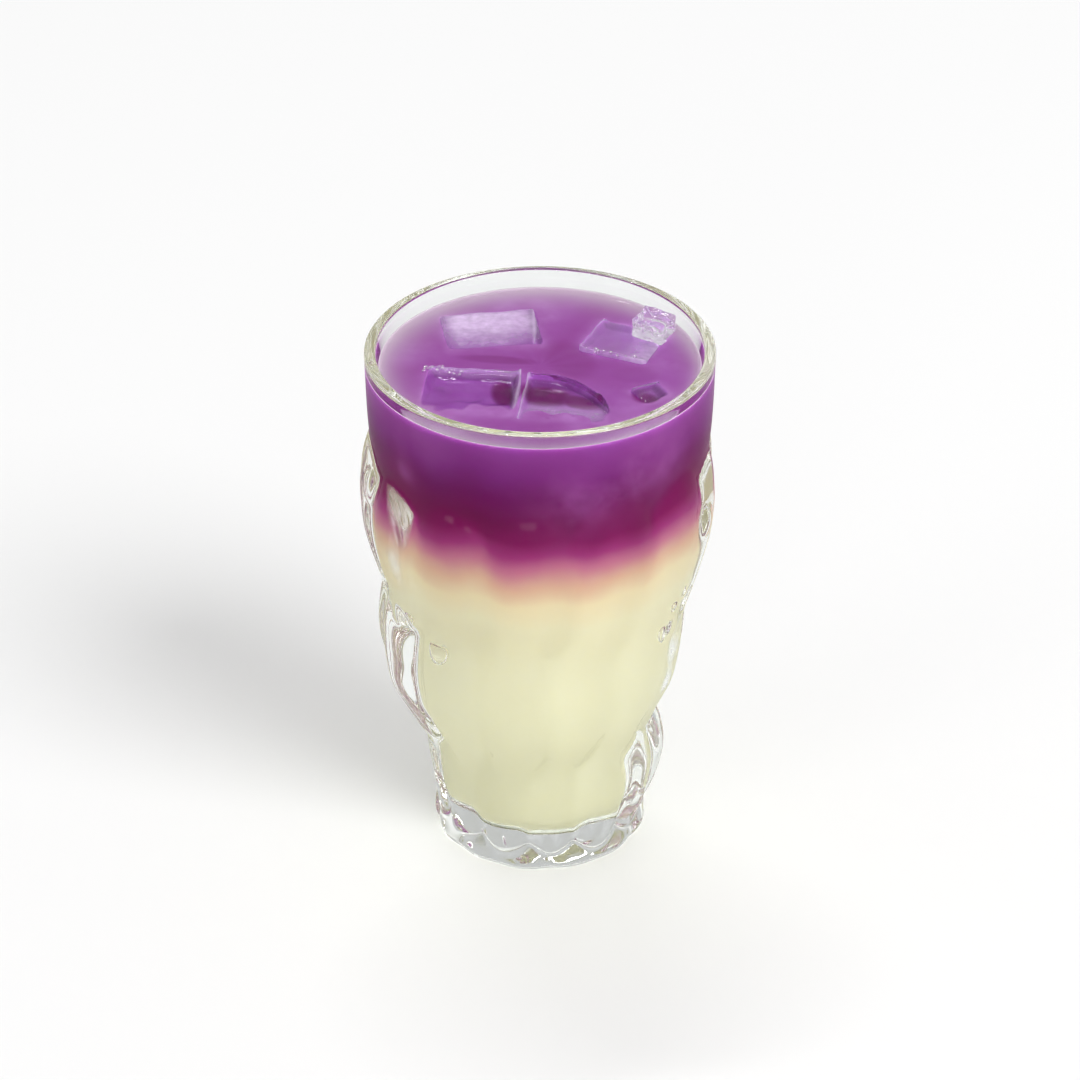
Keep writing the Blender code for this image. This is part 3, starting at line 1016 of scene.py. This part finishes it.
def paler_over_ice(tree, place, colour, haze):
    """Ice under the surface shows as a cloud with uneven edges."""
    near = add_node(tree, "ShaderNodeAttribute", {"attribute_name": "ice_near"})
    cloud = add_node(tree, "ShaderNodeTexNoise", values={"Scale": 1.0 / CLOUD_SIZE, "Detail": 5.0},
                     links={"Vector": place})
    uneven = add_node(tree, "ShaderNodeMapRange", values={"From Min": 0.3, "From Max": 0.7, "To Min": 0.35},
                      links={"Value": cloud.outputs["Fac"]})
    pale = add_node(tree, "ShaderNodeMath", {"operation": "MULTIPLY"},
                    links={0: near.outputs["Fac"], 1: uneven.outputs[0]})
    hazy = add_node(tree, "ShaderNodeMix", {"data_type": "RGBA"}, values={SECOND: linear(haze)},
                    links={SHARE: pale.outputs[0], FIRST: colour})
    return hazy.outputs[BLEND]


print("clouds are about", CLOUD_SIZE / MM, "mm across")

# %% What both sides of the juice share
JUICE_INDEX = 1.34


def new_juice(name, scatter):
    """Scatter is how far light wanders inside before it comes out again."""
    material, tree, shader, output = new_material(name)
    shader.inputs["Roughness"].default_value = 0.05
    shader.inputs["IOR"].default_value = JUICE_INDEX
    shader.inputs["Subsurface Weight"].default_value = 1.0
    shader.inputs["Subsurface Radius"].default_value = (1.0, 1.0, 1.0)
    shader.inputs["Subsurface Scale"].default_value = scatter
    place = add_node(tree, "ShaderNodeTexCoord").outputs["Object"]
    return material, tree, shader, output, place


print("juice bends light a little more than water, with index", JUICE_INDEX)

# %% [markdown]
# ### The juice against the glass
#
# Where liquid wets glass there is almost no gloss, because the two bend light alike. But seen
# from outside, a thick curved wall only shows the drink up to a certain slant. Past it, light is
# thrown back inside the wall, and the glass shows bright, clear bands at both its sides. Tracing
# that truly needs the exact gap-free meeting of three materials. Turning the juice to a mirror
# at a flat slant gives the same clear bands, and it works from every side.

# %% Juice against glass
MIRROR_FROM = 0.455
MIRROR_OVER = 0.1
SIDE_SCATTER = 6.0 * MM

side_juice, tree, shader, output, place = new_juice("juice_against_glass", SIDE_SCATTER)
colour = paler_over_ice(tree, place, colour_by_height(tree, place), haze="#B46CB2")
tree.links.new(colour, shader.inputs["Base Color"])
shader.inputs["Specular IOR Level"].default_value = 0.0
slant = add_node(tree, "ShaderNodeLayerWeight", values={"Blend": 0.5})
beyond = add_node(tree, "ShaderNodeMapRange", {"interpolation_type": "SMOOTHSTEP"},
                  values={"From Min": MIRROR_FROM, "From Max": MIRROR_FROM + MIRROR_OVER},
                  links={"Value": slant.outputs["Facing"]})
mirror = add_node(tree, "ShaderNodeBsdfAnisotropic", values={"Color": linear("#FFFFFF"), "Roughness": 0.0})
mix = add_node(tree, "ShaderNodeMixShader", links={
    0: beyond.outputs[0], 1: shader.outputs[0], 2: mirror.outputs[0]})
tree.links.new(mix.outputs[0], output.inputs["Surface"])
print("scatters over", round(SIDE_SCATTER / MM, 1), "mm")

# %% [markdown]
# ### The surface of the juice
#
# The open surface is wet and glossy, with slow, low waves. The colour is paler along the wall, and
# the pools between the blocks carry a painted shade, dark as deep gaps would be. Ripples could be
# modelled, but they are so low that a bump shows them just as well.

# %% Juice surface
WAVE_SIZE = 7.7 * MM
WAVE_HEIGHT = 0.5 * MM
TOP_SCATTER = 1.5 * MM

top_juice, tree, shader, output, place = new_juice("juice_surface", TOP_SCATTER)
hazy = paler_over_ice(tree, place, colour_by_height(tree, place), haze="#BC86C8")
pool_shade = add_node(tree, "ShaderNodeAttribute", {"attribute_name": "pool_shade"})
wall = add_node(tree, "ShaderNodeAttribute", {"attribute_name": "wall_near"})
# Painted shade: in the pools the skin is mixed towards a dark magenta.
deep_shade = add_node(tree, "ShaderNodeMix", {"data_type": "RGBA"}, values={SECOND: linear("#780868")},
                links={SHARE: pool_shade.outputs["Fac"], FIRST: hazy})
paler_at_wall = add_node(tree, "ShaderNodeMix", {"data_type": "RGBA"}, values={SECOND: linear("#CFC4CC")},
                   links={SHARE: wall.outputs["Fac"], FIRST: deep_shade.outputs[BLEND]})
tree.links.new(paler_at_wall.outputs[BLEND], shader.inputs["Base Color"])
shader.inputs["Specular IOR Level"].default_value = 0.5
wave = add_node(tree, "ShaderNodeTexNoise", values={"Scale": 1.0 / WAVE_SIZE, "Detail": 2.0},
                links={"Vector": place})
bump = add_node(tree, "ShaderNodeBump", values={"Strength": 0.4, "Distance": WAVE_HEIGHT},
                links={"Height": wave.outputs["Fac"]})
tree.links.new(bump.outputs[0], shader.inputs["Normal"])
print("scatters over", round(TOP_SCATTER / MM, 1), "mm")

# %% Side faces take the first juice, and the faces of the skin the second
drink.data.materials.append(side_juice)
drink.data.materials.append(top_juice)
OFF_THE_WALL = 0.02 * MM
for face in drink.data.polygons:
    middle = face.center
    inside = math.hypot(middle.x, middle.y) < float(lining_radius(middle.z)) - OFF_THE_WALL
    face.material_index = 1 if inside and middle.z > FLOOR_HEIGHT + FLOOR_CORNER else 0
print("faces of the skin:", sum(face.material_index for face in drink.data.polygons))

# %% [markdown]
# ### Melting ice
#
# Ice that froze slowly is clear, and ice that froze fast holds bubbles that are too fine to see
# one by one, so it looks milky. Meltwater polishes its surface. A glass shader with the index of
# ice gives the clear part, and letting the milk measure take some of the transmission away gives
# the milk and the painted highlights along edges and ridges, so that one block can be both. Real
# bubbles in the ice would need millions of faces.

# %% Melting ice
ICE_INDEX = 1.31
MILK_GRAIN = 1.25 * MM
MELT_WAVE = 1.67 * MM
MELT_HEIGHT = 0.1 * MM


def make_milky_and_edge_lit(tree, shader, place):
    """Take transmission away where the ice is milky or has a painted bright edge, a little unevenly."""
    milk_and_edge_light = add_node(tree, "ShaderNodeAttribute", {"attribute_name": "milk_and_edge_light"})
    cloud = add_node(tree, "ShaderNodeTexNoise", values={"Scale": 1.0 / MILK_GRAIN, "Detail": 4.0},
                     links={"Vector": place})
    grain = add_node(tree, "ShaderNodeMapRange",
                     values={"From Min": 0.3, "From Max": 0.7, "To Min": 0.88, "To Max": 1.12},
                     links={"Value": cloud.outputs["Fac"]})
    milk = add_node(tree, "ShaderNodeMath", {"operation": "MULTIPLY"},
                    links={0: milk_and_edge_light.outputs["Fac"], 1: grain.outputs[0]})
    clearness = add_node(tree, "ShaderNodeMath", {"operation": "SUBTRACT", "use_clamp": True},
                         values={0: 1.0}, links={1: milk.outputs[0]})
    tree.links.new(clearness.outputs[0], shader.inputs["Transmission Weight"])


def ice_material(name, tint):
    material, tree, shader, output = new_material(name)
    place = add_node(tree, "ShaderNodeTexCoord").outputs["Object"]
    make_milky_and_edge_lit(tree, shader, place)
    melt = add_node(tree, "ShaderNodeTexNoise", values={"Scale": 1.0 / MELT_WAVE, "Detail": 4.0},
                    links={"Vector": place})
    bump = add_node(tree, "ShaderNodeBump", values={"Strength": 0.3, "Distance": MELT_HEIGHT},
                    links={"Height": melt.outputs["Fac"]})
    tree.links.new(bump.outputs[0], shader.inputs["Normal"])
    shader.inputs["Base Color"].default_value = linear(tint)
    shader.inputs["Roughness"].default_value = 0.04
    shader.inputs["IOR"].default_value = ICE_INDEX
    shader.inputs["Specular IOR Level"].default_value = 0.3
    let_light_through(tree, output, shader.outputs[0], tint="#F2EAF8")
    return material


cloudy_ice = ice_material("cloudy_ice", "#E6D2F0")
clear_ice = ice_material("clear_ice", "#F4F0F8")
for node, ice in ice_pieces.items():
    ice.data.materials.append(cloudy_ice if node in ICE_TOPS else clear_ice)
print("ice bends light with index", ICE_INDEX)

# %% [markdown]
# ### Air inside glass
#
# A bubble in glass is a lens the wrong way round: light goes from the glass into air and bends
# outwards, which gives each bubble a dark rim and a bright middle. The mesh is the skin of the
# air, so the index that light meets on its way in is one over that of glass.

# %% Air in glass
air, tree, shader, output = new_material("air_in_glass")
shader.inputs["Base Color"].default_value = linear("#FFFFFF")
shader.inputs["Roughness"].default_value = 0.0
shader.inputs["IOR"].default_value = 1.0 / GLASS_INDEX
shader.inputs["Transmission Weight"].default_value = 1.0
let_light_through(tree, output, shader.outputs[0], tint="#FFFFFF")
for piece in (froth, seeds):
    piece.data.materials.append(air)
print(air.name, "has index", round(1.0 / GLASS_INDEX, 3))

# %% [markdown]
# ## Floor
#
# Clear glass is drawn by what stands around it, so it wants a plain, pale, matt floor, like a
# roll of white paper. It is wide enough that its edge is never seen through the glass. It lies a
# hair lower than the foot, so that the two faces don't flicker into one another.

# %% Floor
FLOOR_WIDTH = 12.0
FLOOR_DROP = 0.1 * MM

clear_selection()
bpy.ops.mesh.primitive_plane_add(size=FLOOR_WIDTH, location=(0.0, 0.0, 0.0))
floor_plane = bpy.context.object
floor_plane.name = "studio_floor"
floor_plane.location.z = -FLOOR_DROP
paper, tree, shader, output = new_material("white_paper_floor")
shader.inputs["Base Color"].default_value = linear("#F1F1F1")
shader.inputs["Roughness"].default_value = 0.9
shader.inputs["Specular IOR Level"].default_value = 0.0
floor_plane.data.materials.append(paper)
print("floor is", FLOOR_WIDTH, "m wide")

# %% [markdown]
# ## Light
#
# A bright, even sky fills the glass. A large softbox high at the right gives the one soft shadow
# at the left, and two weaker ones from the side and the front lift the colours of the layers. A
# narrow strip high behind the glass lies just where the wet edges of the ice mirror it, so it
# draws them as bright lines. A single large light would do for the layers, but not for the ice.

# %% Light
SKY_STRENGTH = 0.62

world = bpy.data.worlds.new("studio")
bpy.context.scene.world = world
world.use_nodes = True
sky = world.node_tree.nodes["Background"]
sky.inputs["Color"].default_value = linear("#FFFFFF")
sky.inputs["Strength"].default_value = SKY_STRENGTH

# Name, place and target in m, width and length in m, and watts.
SOFTBOXES = (
    ("key_softbox", (2.5, -2.1, 3.2), (0.0, 0.0, 0.06), 2.1, 2.1, 105.0),
    ("side_softbox", (-2.2, -1.5, 0.45), (0.0, 0.0, 0.07), 1.2, 1.2, 11.0),
    ("front_softbox", (-0.6, -3.2, 0.4), (0.0, 0.0, 0.07), 1.8, 1.8, 19.0),
    ("back_strip", (-0.3, 1.3, 2.6), (0.0, 0.0, 0.12), 1.2, 0.12, 13.0),
)
for name, place, target, width, length, watts in SOFTBOXES:
    light = bpy.data.lights.new(name, "AREA")
    light.shape = "DISK" if width == length else "RECTANGLE"
    light.size = width
    light.size_y = length
    light.energy = watts
    lamp = bpy.data.objects.new(name, light)
    lamp.location = place
    lamp.rotation_euler = (Vector(target) - Vector(place)).to_track_quat("-Z", "Y").to_euler()
    bpy.context.scene.collection.objects.link(lamp)
print("lamps:", len(SOFTBOXES), "with", sum(row[-1] for row in SOFTBOXES), "W in all")

# %% [markdown]
# ## Camera
#
# A long lens from nearly a metre away keeps the sides of the glass almost straight. It looks
# down steeply enough to show the ice, and not so steeply that the layers are lost. Glass mirrors
# and bends each ray many times, so rays get more bounces than usual before they are given up.

# %% Camera
VIEW_PITCH = math.radians(32.0)
CAMERA_PLACE = (0.0, -0.7785, 0.5657)
LENS = 127.5
SENSOR_WIDTH = 36.0
VIEW_GAMMA = 0.88

camera_data = bpy.data.cameras.new("studio_camera")
camera_data.lens = LENS
camera_data.sensor_width = SENSOR_WIDTH
camera = bpy.data.objects.new("studio_camera", camera_data)
camera.location = CAMERA_PLACE
camera.rotation_euler = (math.pi / 2 - VIEW_PITCH, 0.0, 0.0)
bpy.context.scene.collection.objects.link(camera)
bpy.context.scene.camera = camera
bpy.context.scene.view_settings.view_transform = "Standard"
bpy.context.scene.view_settings.gamma = VIEW_GAMMA
print("camera stands", round(Vector(CAMERA_PLACE).length, 2), "m from the foot")

# %% Let light bounce often enough inside thick glass
bpy.context.scene.cycles.max_bounces = 24
bpy.context.scene.cycles.glossy_bounces = 16
bpy.context.scene.cycles.transmission_bounces = 20
print("bounces in all:", bpy.context.scene.cycles.max_bounces)

# %% The end
clear_selection()
